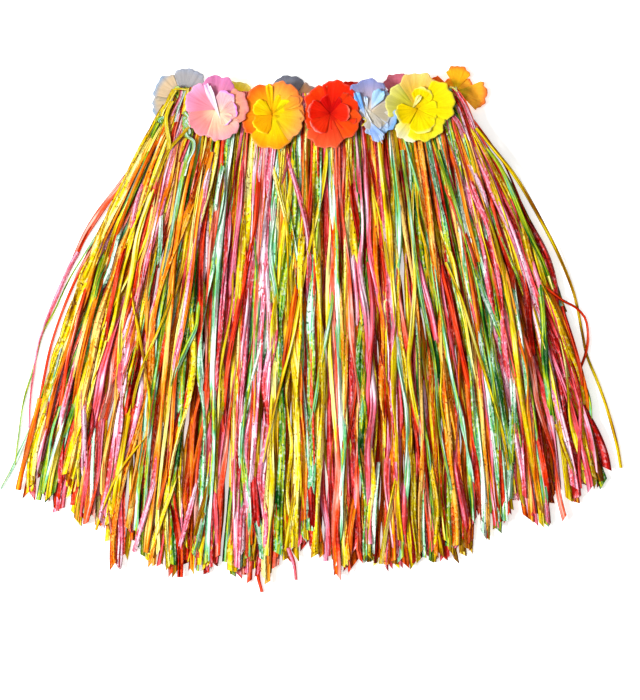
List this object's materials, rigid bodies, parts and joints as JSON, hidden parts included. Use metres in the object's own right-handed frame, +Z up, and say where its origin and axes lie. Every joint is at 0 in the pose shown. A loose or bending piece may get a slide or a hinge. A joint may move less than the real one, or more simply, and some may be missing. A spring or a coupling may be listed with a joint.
{
  "type": "grass skirt",
  "caption": "Hula-style grass skirt of crumpled raffia strands hanging from an elastic waistband with a garland of fabric flowers, lying flat.",
  "frame": {"origin": "centre of the skirt's footprint, on the surface that it lies on", "axes": "+X across the skirt towards the fold at the viewer's right, +Y from the hem towards the waist, +Z up out of the front of the skirt"},
  "size_m": [0.7258, 0.635, 0.0394],
  "materials": {
    "raffia_yellow": "crumpled polypropylene raffia film, glossy, yellow",
    "raffia_green": "crumpled polypropylene raffia film, glossy, green to mint",
    "raffia_pink": "crumpled polypropylene raffia film, glossy, pink",
    "raffia_red": "crumpled polypropylene raffia film, glossy, coral to crimson",
    "raffia_orange": "crumpled polypropylene raffia film, glossy, orange",
    "petal_pink": "pressed polyester petal cloth, pink with a lilac edge",
    "petal_orange": "pressed polyester petal cloth, orange with a yellow throat",
    "petal_red": "pressed polyester petal cloth, red",
    "petal_blue": "pressed polyester petal cloth, pale blue and lilac",
    "petal_yellow": "pressed polyester petal cloth, yellow"
  },
  "bodies": {
    "root": {"flower_back_amber_inner": "petal_orange", "flower_back_amber_outer": "petal_orange", "flower_back_gold_inner": "petal_yellow", "flower_back_gold_outer": "petal_yellow", "flower_back_grey_inner": "petal_blue", "flower_back_grey_outer": "petal_blue", "flower_back_mauve_inner": "petal_pink", "flower_back_mauve_outer": "petal_pink", "flower_back_red_inner": "petal_red", "flower_back_red_outer": "petal_red", "flower_back_white_inner": "petal_blue", "flower_back_white_outer": "petal_blue", "flower_blue_inner": "petal_blue", "flower_blue_outer": "petal_blue", "flower_orange_inner": "petal_orange", "flower_orange_outer": "petal_orange", "flower_pink_inner": "petal_pink", "flower_pink_outer": "petal_pink", "flower_red_inner": "petal_red", "flower_red_outer": "petal_red", "flower_yellow_inner": "petal_yellow", "flower_yellow_outer": "petal_yellow", "hank_back_01": "raffia_yellow", "hank_back_02": "raffia_pink", "hank_back_03": "raffia_green", "hank_back_04": "raffia_red", "hank_back_05": "raffia_orange", "hank_back_06": "raffia_yellow", "hank_back_07": "raffia_pink", "hank_back_08": "raffia_green", "hank_back_09": "raffia_red", "hank_back_10": "raffia_orange", "hank_back_11": "raffia_yellow", "hank_back_12": "raffia_pink", "hank_back_13": "raffia_green", "hank_back_14": "raffia_red", "hank_back_15": "raffia_orange", "hank_front_01": "raffia_pink", "hank_front_02": "raffia_green", "hank_front_03": "raffia_red", "hank_front_04": "raffia_orange", "hank_front_05": "raffia_yellow", "hank_front_06": "raffia_pink", "hank_front_07": "raffia_green", "hank_front_08": "raffia_red", "hank_front_09": "raffia_orange", "hank_front_10": "raffia_yellow", "hank_front_11": "raffia_pink", "hank_front_12": "raffia_green", "hank_front_13": "raffia_red", "hank_front_14": "raffia_orange", "hank_front_15": "raffia_yellow", "hank_front_16": "raffia_pink", "waistband": "raffia_yellow"}
  },
  "joints": []
}
